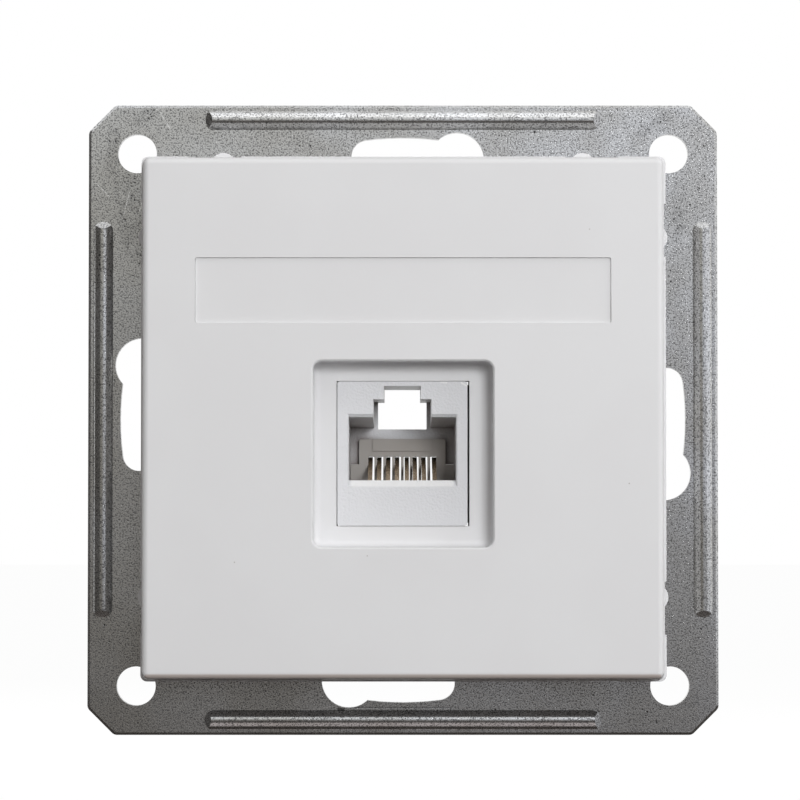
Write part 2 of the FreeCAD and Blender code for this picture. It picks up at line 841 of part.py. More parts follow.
def jack_housing():
    """The moulded body of the keystone jack, with its plug port and latch channel."""
    body = new_body("jack_housing")
    block = front_sketch(body, "jack_block", jack_back)
    centred(block, jack_centre, module_height, s.jack_width, s.jack_height)
    pad(body, block, jack_back - jack_front)
    fillet(body, s.jack_edge_round, "jack_corners", lambda edge: runs_along_y(edge, jack_back - jack_front))
    rib = front_sketch(body, "jack_rib", lip_back + s.seat_play)
    centred(rib, zero, module_height, opening_width + s.seat_play, s.jack_height - s.jack_edge_round * 2)
    pad(body, rib, s.jack_rib, back=True)

    port = side_sketch(body, "jack_port", jack_centre)
    chamber_low = jack_bottom + s.jack_floor
    polygon(
        port,
        [
            (jack_front, port_top + s.port_brow),
            (jack_front + s.port_brow, port_top),
            (port_back, port_top - s.port_ceiling_drop),
            (port_back, chamber_low),
            (lip_end, chamber_low),
            (lip_end, port_floor),
            (jack_front + s.lip_bevel, port_floor),
            (jack_front, port_floor - s.lip_bevel),
        ],
    )
    pocket(body, port, s.port_width, both=True)
    sides = [jack_centre + s.port_width * half for half in (0.5, -0.5)]
    chamfer(
        body,
        s.port_side_bevel,
        "jack_port_sides",
        lambda edge: flat_at(edge, "y", jack_front) and any(flat_at(edge, "x", side) for side in sides),
    )

    channel = front_sketch(body, "jack_latch_channel", jack_front)
    step_top, top = port_top + s.latch_step_rise, port_top + s.latch_top_rise
    latch_outline(channel, s.latch_step_width, port_floor + s.port_height / 2, step_top, top)
    pocket(body, channel, s.port_depth)
    window = front_sketch(body, "jack_window", port_back)
    latch_outline(window, s.window_width, port_top - s.window_sill_drop, step_top, top)
    pocket(body, window, s.jack_back_wall)

    gate = front_sketch(body, "jack_carrier_gate", port_back)
    hat_outline(gate, s.hat_play, chamber_low)
    pocket(body, gate, s.jack_back_wall)
    crown_fillet(body, "jack_gate_corners", s.hat_play, s.jack_back_wall)

    jack_lug(body)
    jack_latch(body)
    jack_arms(body)
    return body


def latch_outline(sketch, step_width, low, step_top, top):
    """The stepped outline that the plug's latch passes through."""
    step, narrow = step_width / 2, s.latch_top_width / 2
    polygon(
        sketch,
        [
            (jack_centre - step, low),
            (jack_centre + step, low),
            (jack_centre + step, step_top),
            (jack_centre + narrow, step_top),
            (jack_centre + narrow, top),
            (jack_centre - narrow, top),
            (jack_centre - narrow, step_top),
            (jack_centre - step, step_top),
        ],
    )


def hat_outline(sketch, play, low):
    """The hat-shaped outline of the contact carrier, grown by play all round but at its foot."""
    brim = s.port_width / 2 - s.hat_play + play
    crown = s.hat_width / 2 + play
    shoulder = port_floor + s.hat_shoulder + play
    top = port_floor + s.hat_top + play
    polygon(
        sketch,
        [
            (jack_centre - brim, low),
            (jack_centre + brim, low),
            (jack_centre + brim, shoulder),
            (jack_centre + crown, shoulder),
            (jack_centre + crown, top),
            (jack_centre - crown, top),
            (jack_centre - crown, shoulder),
            (jack_centre - brim, shoulder),
        ],
    )


def crown_fillet(body, name, play, length):
    """Round the two top corners of the hat-shaped outline, along its whole length."""
    crown = port_floor + s.hat_top + play
    fillet(
        body,
        s.hat_round + play,
        name,
        lambda edge: runs_along_y(edge, length) and flat_at(edge, "z", crown),
    )


def jack_lug(body):
    """The fixed lug under the jack, which hooks behind the holder's lower lip."""
    lug = side_sketch(body, "jack_lug", jack_centre)
    front = lip_back + s.seat_play
    polygon(
        lug,
        [
            (front, jack_bottom + s.jack_floor / 2),
            (front, jack_bottom - s.lug_depth),
            (front + s.lug_length / 2, jack_bottom - s.lug_depth),
            (front + s.lug_length, jack_bottom + s.jack_floor / 2),
        ],
    )
    pad(body, lug, s.lug_width, both=True)


def jack_latch(body):
    """The springy latch over the jack: an arm from the back with a hook behind the upper lip."""
    arm = side_sketch(body, "jack_latch", jack_centre)
    front = lip_back + s.seat_play
    under = jack_top + s.latch_arm_gap
    over = under + s.latch_arm
    root = jack_top - s.jack_edge_round
    polygon(
        arm,
        [
            (jack_back, root),
            (jack_back, over),
            (front + s.latch_hook, over),
            (front, jack_top + s.latch_hook),
            (front, jack_top + s.seat_play),
            (front + s.latch_hook, jack_top + s.seat_play),
            (front + s.latch_hook, under),
            (jack_back - s.latch_arm, under),
            (jack_back - s.latch_arm, root),
        ],
    )
    pad(body, arm, s.latch_arm_width, both=True)


def jack_arms(body):
    """Two arms at the back that hold the board down on the terminal block."""
    outer, inner = s.jack_width / 2, s.port_width / 2
    root, back = jack_back - s.jack_back_wall / 2, jack_back + s.arm_length
    for name, side in (("left", -1), ("right", 1)):
        arm = top_sketch(body, f"jack_arm_{name}", board_bottom)
        rectangle(arm, *spread(inner, outer, side), root, back)
        pad(body, arm, s.board_thickness + s.arm_rise)
        tongue = top_sketch(body, f"jack_tongue_{name}", board_top)
        rectangle(tongue, *spread(inner - s.arm_tongue, outer, side), back - s.arm_tongue_length, back)
        pad(body, tongue, s.arm_rise)


def spread(inner, outer, side):
    """The left and right ends of a span beside the jack's middle, on side -1 or 1."""
    ends = sorted((inner * side, outer * side), key=lambda size: size.value)
    return jack_centre + ends[0], jack_centre + ends[1]


def contact_carrier():
    body = new_body("contact_carrier")
    hat = front_sketch(body, "carrier_hat", hat_back)
    hat_outline(hat, zero, board_top)
    pad(body, hat, s.hat_length)
    crown_fillet(body, "carrier_crown", zero, s.hat_length)

    slab = top_sketch(body, "carrier_slab", board_top)
    rectangle(slab, jack_centre - board_reach, jack_centre + board_reach, slab_front, hat_back)
    pad(body, slab, s.carrier_slab)

    tab = front_sketch(body, "carrier_tab", hat_front)
    half = s.tab_width / 2
    crown = port_floor + s.hat_top
    rectangle(tab, jack_centre - half, jack_centre + half, crown - s.tab_height, crown)
    pad(body, tab, s.tab_proud)

    first = jack_centre - s.contact_pitch * (CONTACTS - 1) / 2
    low, high = port_floor - s.comb_bottom, port_floor + s.comb_top
    comb = front_sketch(body, "carrier_comb", hat_front)
    rectangle(comb, first - s.comb_slot / 2, first + s.comb_slot / 2, low, high)
    cuts = [pocket(body, comb, s.hat_length)]
    nose = top_sketch(body, "carrier_nose", board_top + s.carrier_slab)
    nose_back = contact_line + s.contact_thickness
    rectangle(nose, first - s.comb_slot / 2, first + s.comb_slot / 2, slab_front, nose_back)
    cuts.append(pocket(body, nose, s.carrier_slab))
    in_line(body, cuts, "X_Axis", s.contact_pitch, CONTACTS, "carrier_slots")
    return body


def contact(number):
    """One flat spring contact: up from the board, round a bend and back into its comb slot."""
    label = f"contact_{number}"
    body = new_body(label)
    step = s.contact_pitch * (number - (CONTACTS + 1) / 2)
    across = jack_centre + step + s.contact_shift * LEANS[number - 1]
    foot = board_bottom - s.contact_tail
    bend_up = port_floor - s.contact_bend_drop
    bend_across = contact_line + s.contact_bend
    tip_across = hat_back - s.contact_bend
    tip_up = port_floor + s.comb_top - s.contact_tip_drop
    path = side_sketch(body, f"{label}_path", across)
    centre = vector(bend_across, bend_up)
    tip = vector(tip_across, tip_up)
    far = (tip - centre).Length
    lean = math.atan2(tip.y - centre.y, tip.x - centre.x) + math.acos(s.contact_bend.value / far)
    touch = centre + FreeCAD.Vector(math.cos(lean), math.sin(lean), 0) * s.contact_bend.value
    start = vector(contact_line, foot)
    path.addGeometry(Part.LineSegment(start, vector(contact_line, bend_up)), False)
    arc(path, centre, s.contact_bend.value, math.degrees(lean), 180)
    path.addGeometry(Part.LineSegment(touch, tip), False)
    path.addConstraint(Sketcher.Constraint("Tangent", 0, 2, 1, 2))
    path.addConstraint(Sketcher.Constraint("Tangent", 1, 1, 2, 1))
    path.addConstraint(Sketcher.Constraint("Vertical", 0))
    pin(path, 0, 1, contact_line, foot)
    pin(path, 2, 2, tip_across, tip_up)
    hold(path, Sketcher.Constraint("Radius", 1, s.contact_bend.value), s.contact_bend)
    hold(path, Sketcher.Constraint("DistanceY", -1, 1, 1, 3, bend_up.value), bend_up)
    section = top_sketch(body, f"{label}_section", foot)
    centred(section, across, contact_line, s.contact_width, s.contact_thickness)
    wire = add_feature(body, "AdditivePipe", f"{label}_wire")
    wire.Profile = section
    wire.Spine = (path, [])
    return body


def circuit_board():
    body = new_body("circuit_board")
    board = top_sketch(body, "board_outline", board_bottom)
    back = fork_place(FORKS_IN_A_ROW) + s.board_margin
    rectangle(board, jack_centre - board_reach, jack_centre + board_reach, slab_front, back)
    pad(body, board, s.board_thickness)
    hole = top_sketch(body, "board_contact_hole", board_top)
    first = jack_centre - s.contact_pitch * (CONTACTS - 1) / 2
    centred(hole, first, contact_line, s.comb_slot, s.board_hole)
    contact_hole = pocket(body, hole, s.board_thickness)
    in_line(body, [contact_hole], "X_Axis", s.contact_pitch, CONTACTS, "board_contact_holes")
    pins = []
    pin_side = s.board_hole + s.fork_play * 2
    for name, side in (("left", -1), ("right", 1)):
        pin_hole = top_sketch(body, f"board_pin_hole_{name}", board_top)
        centred(pin_hole, jack_centre + s.fork_offset * side, fork_place(1), pin_side, pin_side)
        pins.append(pocket(body, pin_hole, s.board_thickness))
    in_line(body, pins, "Y_Axis", s.fork_pitch, FORKS_IN_A_ROW, "board_pin_holes")
    return body


def idc_block():
    """The wire terminal block under the board: two walls of posts with a slot for each wire."""
    body = new_body("idc_block")
    length = s.block_margin * 2 + s.fork_pitch * FORKS_IN_A_ROW
    back = block_front + length
    half = s.jack_width / 2
    base = top_sketch(body, "block_base", block_foot)
    rectangle(base, jack_centre - half, jack_centre + half, block_front, back)
    pad(body, base, s.block_base)
    walls = top_sketch(body, "block_walls", block_foot)
    for side in (-1, 1):
        rectangle(walls, *spread(half - s.block_wall, half, side), block_front, back)
    pad(body, walls, s.block_post, back=True)
    chamfer(
        body,
        s.post_taper,
        "block_tips",
        lambda edge: flat_at(edge, "z", block_tip) and runs_along_y(edge, length),
    )

    cuts = []
    slot = side_sketch(body, "block_wire_slot", jack_centre)
    centre = fork_place(1)
    wide = s.wire_slot / 2
    pin_side = s.board_hole + s.fork_play * 2
    rectangle(slot, centre - wide, centre + wide, block_tip, block_tip + s.wire_slot_depth)
    cuts.append(pocket(body, slot, s.jack_width + s.wire_slot, both=True))
    for name, side in (("left", -1), ("right", 1)):
        place = jack_centre + s.fork_offset * side
        seat = top_sketch(body, f"block_fork_seat_{name}", block_tip)
        centred(seat, place, centre, s.fork_thickness + s.fork_play * 2, s.fork_width + s.fork_play * 2)
        cuts.append(pocket(body, seat, s.block_post, back=True))
        pin_hole = top_sketch(body, f"block_pin_hole_{name}", block_foot)
        centred(pin_hole, place, centre, pin_side, pin_side)
        cuts.append(pocket(body, pin_hole, s.block_base, back=True))
    in_line(body, cuts, "Y_Axis", s.fork_pitch, FORKS_IN_A_ROW, "block_slots")
    return body


def idc_terminal(number):
    """One forked blade that bites through a wire's insulation, with a pin up into the board."""
    label = f"idc_terminal_{number}"
    body = new_body(label)
    side = -1 if number <= FORKS_IN_A_ROW else 1
    place = jack_centre + s.fork_offset * side
    along = fork_place((number - 1) % FORKS_IN_A_ROW + 1)
    sketch = side_sketch(body, f"{label}_outline", place)
    wide, gap, pin_half = s.fork_width / 2, s.fork_gap / 2, s.fork_pin_width / 2
    tip = block_foot - s.fork_height
    pin_top = board_top + s.fork_pin_width
    polygon(
        sketch,
        [
            (along - wide, block_foot),
            (along - wide, tip),
            (along - gap - s.fork_mouth, tip),
            (along - gap, tip + s.fork_mouth),
            (along - gap, tip + s.fork_gap_depth),
            (along + gap, tip + s.fork_gap_depth),
            (along + gap, tip + s.fork_mouth),
            (along + gap + s.fork_mouth, tip),
            (along + wide, tip),
            (along + wide, block_foot),
            (along + pin_half, block_foot),
            (along + pin_half, pin_top),
            (along - pin_half, pin_top),
            (along - pin_half, block_foot),
        ],
    )
    pad(body, sketch, s.fork_thickness, both=True)
    return body


def check_document():
    """Stop on any failed object and on any sub-part that is not a valid solid."""
    for item in doc.Objects:
        if "Invalid" in item.State or "Error" in item.State:
            raise RuntimeError(f"{item.Label}: {item.State}")
    for body in bodies:
        if body.Shape.isNull() or not body.Shape.isValid() or not body.Shape.Solids:
            raise RuntimeError(f"{body.Label} is not a valid solid")


bodies = [
    mounting_plate(),
    cover(),
    label_window(),
    module_holder(),
    holder_screws(),
    jack_housing(),
    contact_carrier(),
    *[contact(number) for number in range(1, CONTACTS + 1)],
    circuit_board(),
    idc_block(),
    *[idc_terminal(number) for number in range(1, FORKS_IN_A_ROW * 2 + 1)],
]
doc.recompute()
check_document()
os.makedirs("parts", exist_ok=True)
for body in bodies:
    body.Shape.exportStep(f"parts/{body.Label}.step")
    print(body.Label, len(body.Shape.Solids), round(body.Shape.Volume, 3))
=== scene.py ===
import math

import bpy
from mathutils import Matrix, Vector

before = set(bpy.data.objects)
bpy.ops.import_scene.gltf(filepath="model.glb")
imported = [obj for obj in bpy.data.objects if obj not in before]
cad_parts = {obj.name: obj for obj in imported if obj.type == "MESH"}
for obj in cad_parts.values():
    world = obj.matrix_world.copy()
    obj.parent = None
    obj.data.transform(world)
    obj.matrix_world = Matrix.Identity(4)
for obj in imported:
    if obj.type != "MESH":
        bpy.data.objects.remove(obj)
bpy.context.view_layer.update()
print("loaded", len(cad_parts), "pieces of the socket")

mm = 0.001


def colour(red, green, blue):
    return (red, green, blue, 1.0)


white = colour(1, 1, 1)
black = colour(0, 0, 0)


class Wire:
    # one output of a node, so that a pattern can be written as a sum
    def __init__(self, nodes, socket):
        self.nodes = nodes
        self.socket = socket

    def maths(self, operation, first, second):
        return self.nodes.node("ShaderNodeMath", {"operation": operation}, {0: first, 1: second})

    def __add__(self, other):
        return self.maths("ADD", self, other)

    def __radd__(self, other):
        return self.maths("ADD", other, self)

    def __sub__(self, other):
        return self.maths("SUBTRACT", self, other)

    def __rsub__(self, other):
        return self.maths("SUBTRACT", other, self)

    def __mul__(self, other):
        return self.maths("MULTIPLY", self, other)

    def __rmul__(self, other):
        return self.maths("MULTIPLY", other, self)

    def larger(self, other):
        return self.maths("MAXIMUM", self, other)


class Nodes:
    # a node tree, built up node by node
    def __init__(self, tree):
        self.tree = tree

    def node(self, kind, settings, values, output=0):
        node = self.tree.nodes.new(kind)
        for name, value in settings.items():
            setattr(node, name, value)
        for name, value in values.items():
            self.feed(node.inputs[name], value)
        return Wire(self, node.outputs[output])

    def feed(self, socket, value):
        if isinstance(value, Wire):
            self.tree.links.new(value.socket, socket)
        else:
            socket.default_value = value

    def ray(self, kind):
        return self.node("ShaderNodeLightPath", {}, {}, f"Is {kind} Ray")

    def step(self, value, low, high):
        values = {"Value": value, "From Min": low, "From Max": high}
        return self.node("ShaderNodeMapRange", {"interpolation_type": "SMOOTHSTEP"}, values)

    def blend(self, mask, first, second):
        values = {0: mask, 6: first, 7: second}
        return self.node("ShaderNodeMix", {"data_type": "RGBA"}, values, 2)


class Finish(Nodes):
    # a material in the object's own coordinates; a grain is the size of its pattern in mm
    def __init__(self, name):
        self.material = bpy.data.materials.new(name)
        self.material.use_nodes = True
        super().__init__(self.material.node_tree)
        self.shader = self.tree.nodes["Principled BSDF"]
        self.place = self.node("ShaderNodeTexCoord", {}, {}, "Object")

    def set(self, **values):
        for name, value in values.items():
            self.feed(self.shader.inputs[name.replace("_", " ")], value)

    def noise(self, grain, detail=2.0):
        values = {"Vector": self.place, "Scale": 1 / (grain * mm), "Detail": detail}
        return self.node("ShaderNodeTexNoise", {}, values)

    def patches(self, grain, low, high, detail=2.0):
        return self.step(self.noise(grain, detail), low, high)

    def cells(self, grain, output=0):
        values = {"Vector": self.place, "Scale": 1 / (grain * mm)}
        return self.node("ShaderNodeTexVoronoi", {}, values, output)

    def dots(self, grain, small, large, share):
        # round dots in about that share of the cells, each with its own darkness
        luck = self.node("ShaderNodeSeparateXYZ", {}, {0: self.cells(grain, "Color")}, "X")
        return (1 - self.step(self.cells(grain), small, large)) * self.step(luck, 1 - share, 1.0)

    def vector(self, operation, first, second, output=0):
        settings = {"operation": operation}
        return self.node("ShaderNodeVectorMath", settings, {0: first, 1: second}, output)

    def scratch(self, start, end, width):
        # 1 along a straight line between two points, given as (x, z) in mm, and 0 away from it
        foot = Vector((start[0] * mm, 0, start[1] * mm))
        run = Vector((end[0] * mm, 0, end[1] * mm)) - foot
        flat = self.vector("MULTIPLY", self.place, (1, 0, 1))
        reach = self.vector("SUBTRACT", flat, foot)
        along = self.vector("DOT_PRODUCT", reach, run / run.length_squared, "Value")
        along = self.node("ShaderNodeClamp", {}, {"Value": along})
        nearest = self.node("ShaderNodeVectorMath", {"operation": "SCALE"}, {0: run, "Scale": along})
        distance = self.vector("DISTANCE", reach, nearest, "Value")
        return 1 - self.step(distance, width * mm * 0.3, width * mm)

    def marks(self, lines):
        # 1 on each line and 0 elsewhere
        drawn = [self.scratch(*line) for line in lines]
        every = drawn[0]
        for line in drawn[1:]:
            every = every.larger(line)
        return every

    def bump(self, height, depth, strength):
        # depth is in mm
        values = {"Height": height, "Distance": depth * mm, "Strength": strength}
        self.feed(self.shader.inputs["Normal"], self.node("ShaderNodeBump", {}, values))

    def paint(self, *names):
        for name in names:
            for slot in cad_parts[name].material_slots:
                slot.material = self.material


viewpoint = {  # a little under the socket's middle, looking slightly up
    "place": (-0.335 * mm, -370.894 * mm, -9.129 * mm),
    "tilt": 91.75,
    "lens": 147.74,
    "sensor": 36.0,
    "nearest": 10 * mm,
}


def makeCamera():
    data = bpy.data.cameras.new("viewCamera")
    data.lens = viewpoint["lens"]
    data.sensor_width = viewpoint["sensor"]
    data.clip_start = viewpoint["nearest"]
    viewer = bpy.data.objects.new("viewCamera", data)
    viewer.location = viewpoint["place"]
    viewer.rotation_euler = (math.radians(viewpoint["tilt"]), 0, 0)
    bpy.context.collection.objects.link(viewer)
    bpy.context.scene.camera = viewer


makeCamera()
print("camera placed")

plateSteel = {
    "light": colour(0.64, 0.645, 0.65),
    "dull": colour(0.55, 0.545, 0.53),
    "dark": colour(0.09, 0.088, 0.09),
    "pit": colour(0.015, 0.015, 0.016),
    "shine": colour(0.9, 0.9, 0.91),
    "patchGrain": 9.0,  # from light to dull
    "cloudGrain": 4.5,  # where dots crowd
    "stainGrain": 1.2,
    "breakGrain": 0.35,  # breaks the scratches up
    "glintGrain": 0.2,
    "fineGrain": 0.17,
    "dots": {"grain": 0.3, "small": 0.14, "large": 0.36, "share": 0.9},  # radii in grains
    "pits": {"grain": 0.55, "small": 0.14, "large": 0.26, "share": 0.7},
    "stainDots": {"grain": 0.36, "small": 0.2, "large": 0.36, "share": 0.9},
    "speckle": 0.72,  # how strongly each shows, from 0 to 1
    "glint": 0.4,
    "stain": 0.2,
    "creaseShade": 0.85,
    "metal": 0.95,
    "roughness": 0.15,
    "cloudRoughness": 0.1,
    "dirtRoughness": 0.15,
    "depth": 0.014,
    "scratches": [  # (x, z) of both ends and the width, in mm
        ((-28.9, 34.4), (-27.7, 35.1), 0.07),
        ((-27.6, 35.0), (-26.3, 32.8), 0.08),
        ((-34.9, 26.9), (-32.9, 24.9), 0.07),
        ((-31.5, 23.2), (-30.9, 25.6), 0.06),
        ((-29.9, 23.0), (-29.4, 24.9), 0.06),
        ((31.9, 14.5), (32.3, 9.0), 0.05),
        ((-12.0, -33.0), (-7.5, -32.2), 0.05),
        ((22.0, 34.9), (26.5, 34.6), 0.05),
    ],
    "stains": [
        ((-32.6, 32.2), (-32.9, 28.3), 1.1),
        ((-29.9, 33.7), (-28.4, 34.8), 0.9),
        ((-31.2, 26.4), (-30.0, 19.5), 2.2),
        ((27.2, 32.4), (29.6, 34.0), 1.3),
        ((31.2, 26.2), (30.9, 21.2), 1.0),
    ],
    # painted shade: a dark line along the crease at the bottom bead's upper foot; the short first
    # line is a dark pit
    "shadedCreaseLines": [
        ((-7.25, -32.63), (-6.7, -32.66), 0.2),
        ((-6.4, -32.42), (5.6, -32.4), 0.07),
    ],
}


def steelFinish(name, look):
    finish = Finish(name)
    fine = finish.noise(look["fineGrain"], 1.0)
    cloud = finish.noise(look["cloudGrain"], 3.0)
    # painted glints: small spots of lighter base colour
    glints = finish.patches(look["glintGrain"], 0.55, 0.72, 1.0)
    stained = finish.marks(look["stains"]) * finish.patches(look["stainGrain"], 0.3, 0.55)
    scratched = finish.marks(look["scratches"]) * finish.patches(look["breakGrain"], 0.35, 0.6)
    shadedCreases = finish.marks(look["shadedCreaseLines"])
    dots = finish.dots(**look["dots"]) * (0.2 + cloud * 1.2)
    pitted = finish.dots(**look["pits"]) * finish.step(cloud, 0.5, 0.66)
    pitted = pitted.larger(finish.dots(**look["stainDots"]) * stained)
    speckle = (1 - finish.step(fine, 0.36, 0.5)) * look["speckle"]
    dirt = speckle.larger(dots)
    zinc = finish.blend(finish.patches(look["patchGrain"], 0.35, 0.65), look["light"], look["dull"])
    zinc = finish.blend(glints * look["glint"], zinc, look["shine"])
    zinc = finish.blend(stained * look["stain"], zinc, look["dark"])
    zinc = finish.blend(dirt, zinc, look["dark"])
    zinc = finish.blend(pitted, zinc, look["pit"])
    zinc = finish.blend(scratched, zinc, look["shine"])
    # painted shade in the bead's crease
    zinc = finish.blend(shadedCreases * look["creaseShade"], zinc, look["dark"])
    finish.set(Base_Color=zinc, Metallic=look["metal"])
    rough = look["roughness"] + cloud * look["cloudRoughness"] + dirt * look["dirtRoughness"]
    finish.set(Roughness=rough)
    finish.bump(fine * 0.7 - pitted - shadedCreases, look["depth"], 0.7)
    return finish


steelFinish("galvanisedSteel", plateSteel).paint("mounting_plate")

moulding = {  # what all the plastics share
    "flowGrain": 14.0,
    "speckRadius": (0.011, 0.02),  # in grains
    "speckShows": 0.7,
    "sheenShows": 0.25,
    "lowerWallShadeShows": 0.6,
    "rubbedShows": 0.8,
    "crevice": (0.05, 0.6),  # how open a place is, from full painted shade to none
    "strength": 0.35,
}
coverPlastic = {
    "base": colour(0.7, 0.701, 0.71),
    "shaded": colour(0.688, 0.687, 0.696),
    "speck": colour(0.33, 0.31, 0.29),
    "speckGrain": 5.5,
    "grain": 0.3,
    "depth": 0.004,
    "roughness": 0.36,
    "sheen": colour(0.74, 0.74, 0.75),
    "creviceShade": colour(0.2, 0.165, 0.15),
    "creviceReach": 1.2,
    "creviceShadeStrength": 0.3,
    "lowerWallShadeColour": colour(0.38, 0.29, 0.235),
    "lowerWallShade": [((-28.2, -28.5), (28.2, -28.5), 0.36)],  # painted shade along the lower wall, which faces down
}


def plasticFinish(name, look):
    finish = Finish(name)
    grain = finish.noise(look["grain"], 3.0)
    flow = finish.patches(moulding["flowGrain"], 0.35, 0.65)
    base = finish.blend(flow, look["shaded"], look["base"])
    # painted sheen: the grain's raised spots get a lighter base colour
    sheen = finish.step(grain, 0.62, 0.8) * moulding["sheenShows"]
    base = finish.blend(sheen, base, look["sheen"])
    # painted shade: ambient occlusion darkens the base colour towards the crevice shade colour in
    # corners, gaps and hollows
    values = {"Distance": look["creviceReach"] * mm}
    opening = finish.node("ShaderNodeAmbientOcclusion", {"samples": 8}, values, "AO")
    creviceShade = (1 - finish.step(opening, *moulding["crevice"])) * look["creviceShadeStrength"]
    base = finish.blend(creviceShade, base, look["creviceShade"])
    # painted shade: a warm dark band along the lower wall
    if "lowerWallShade" in look:
        lowerWallShade = finish.marks(look["lowerWallShade"]) * moulding["lowerWallShadeShows"]
        base = finish.blend(lowerWallShade, base, look["lowerWallShadeColour"])
    # painted highlights: the listed lines get a lighter base colour
    if "rubbed" in look:
        rubbed = finish.marks(look["rubbed"]) * moulding["rubbedShows"]
        base = finish.blend(rubbed, base, look["bare"])
    specks = 1 - finish.step(finish.cells(look["speckGrain"]), *moulding["speckRadius"])
    base = finish.blend(specks * moulding["speckShows"], base, look["speck"])
    finish.set(Base_Color=base, Roughness=look["roughness"] + grain * 0.08)
    finish.bump(grain, look["depth"], moulding["strength"])
    return finish


plasticFinish("coverPlastic", coverPlastic).paint("cover", "label_window")

jackPlastic = {
    "base": colour(0.685, 0.69, 0.71),
    "shaded": colour(0.655, 0.66, 0.68),
    "speck": colour(0.4, 0.39, 0.38),
    "speckGrain": 3.5,
    "grain": 0.26,
    "depth": 0.2,
    "roughness": 0.34,
    "sheen": colour(0.76, 0.76, 0.78),
    "creviceShade": colour(0.13, 0.1, 0.088),
    "creviceReach": 5.0,
    "creviceShadeStrength": 0.95,
    "bare": colour(0.88, 0.88, 0.88),
    "rubbed": [  # painted highlights on the lip that plugs slide over, and on two nicks in the top edge
        ((-5.5, -7.25), (5.3, -7.25), 0.55),
        ((4.25, 4.0), (4.85, 3.95), 0.12),
        ((6.5, 3.95), (7.1, 3.6), 0.12),
    ],
}
plasticFinish("jackPlastic", jackPlastic).paint("jack_housing", "idc_block")

carrierPlastic = {
    "base": colour(0.37, 0.35, 0.33),
    "shaded": colour(0.345, 0.325, 0.305),
    "speck": colour(0.4, 0.39, 0.38),
    "speckGrain": 3.0,
    "grain": 0.3,
    "depth": 0.006,
    "roughness": 0.4,
    "sheen": colour(0.4, 0.38, 0.36),
    "creviceShade": colour(0.2, 0.165, 0.15),
    "creviceReach": 3.0,
    "creviceShadeStrength": 0.5,
    "bare": colour(0.6, 0.58, 0.55),
    "rubbed": [  # painted highlights along the edges of its two ears
        ((-3.49, -5.4), (-3.49, -4.1), 0.08),
        ((3.35, -5.4), (3.35, -4.1), 0.08),
    ],
}
plasticFinish("carrierPlastic", carrierPlastic).paint("contact_carrier")

holderPlastic = {
    "base": colour(0.62, 0.62, 0.61),
    "shaded": colour(0.58, 0.58, 0.57),
    "speck": colour(0.35, 0.34, 0.33),
    "speckGrain": 6.0,
    "grain": 0.35,
    "depth": 0.008,
    "roughness": 0.42,
    "sheen": colour(0.66, 0.66, 0.65),
    "creviceShade": colour(0.25, 0.22, 0.2),
    "creviceReach": 2.0,
    "creviceShadeStrength": 0.4,
}
plasticFinish("holderPlastic", holderPlastic).paint("module_holder")


def platedFinish(name, look):
    finish = Finish(name)
    wear = finish.patches(look["grain"], 0.35, 0.7, 3.0)
    base = finish.blend(wear, look["bright"], look["worn"])
    finish.set(Base_Color=base, Metallic=look["metal"], Roughness=0.2 + wear * 0.25)
    finish.bump(wear, 0.01, 0.4)
    return finish


contactGold = {
    "bright": colour(0.83, 0.66, 0.45),
    "worn": colour(0.4, 0.27, 0.17),
    "grain": 0.25,
    "metal": 0.75,
}
contactNames = [f"contact_{number}" for number in range(1, 9)]
platedFinish("contactGold", contactGold).paint(*contactNames)

terminalTin = {
    "bright": colour(0.75, 0.74, 0.72),
    "worn": colour(0.5, 0.48, 0.45),
    "grain": 0.6,
    "metal": 1.0,
}
terminalNames = [f"idc_terminal_{number}" for number in range(1, 9)]
platedFinish("terminalTin", terminalTin).paint(*terminalNames)

screwSteel = {
    "bright": colour(0.62, 0.62, 0.63),
    "worn": colour(0.38, 0.37, 0.36),
    "grain": 0.5,
    "metal": 1.0,
}
platedFinish("screwSteel", screwSteel).paint("holder_screws")

boardLaminate = {
    "mask": colour(0.02, 0.16, 0.07),
    "weave": colour(0.035, 0.22, 0.1),
    "weaveScale": 318.4713,  # a thread each millimetre or so
    "waver": 0.6,
}


def boardFinish(name, look):
    finish = Finish(name)
    values = {"Vector": finish.place, "Scale": look["weaveScale"], "Distortion": look["waver"]}
    warp = finish.node("ShaderNodeTexWave", {"bands_direction": "X"}, values, "Fac")
    weft = finish.node("ShaderNodeTexWave", {"bands_direction": "Y"}, values, "Fac")
    cloth = warp * weft
    base = finish.blend(cloth, look["mask"], look["weave"])
    finish.set(Base_Color=base, Roughness=0.3 + cloth * 0.1)
    finish.bump(cloth, 0.01, 0.2)
    return finish


boardFinish("boardLaminate", boardLaminate).paint("circuit_board")
print("finishes painted")

studio = {
    "floorDrop": 75 * mm,
    "floorSize": 6.0,
    "paper": colour(0.92, 0.92, 0.92),
    "paperGrain": colour(0.94, 0.94, 0.94),
    "whiteness": 0.97,  # the rest is left to the shadow
    "sky": 0.22,
    "skyTint": colour(1.0, 0.94, 0.89),
}


def paperFinish(name):
    # white to the eye, with the socket's shadow kept
    finish = Finish(name)
    paper = finish.blend(finish.noise(3.0), studio["paper"], studio["paperGrain"])
    finish.set(Base_Color=paper, Roughness=0.9)
    plain = finish.node("ShaderNodeEmission", {}, {"Color": white, "Strength": 1.0})
    shaded = Wire(finish, finish.shader.outputs[0])
    seen = (finish.ray("Camera") + finish.ray("Glossy")) * studio["whiteness"]
    mixed = finish.node("ShaderNodeMixShader", {}, {0: seen, 1: shaded, 2: plain})
    finish.feed(finish.tree.nodes["Material Output"].inputs["Surface"], mixed)
    return finish


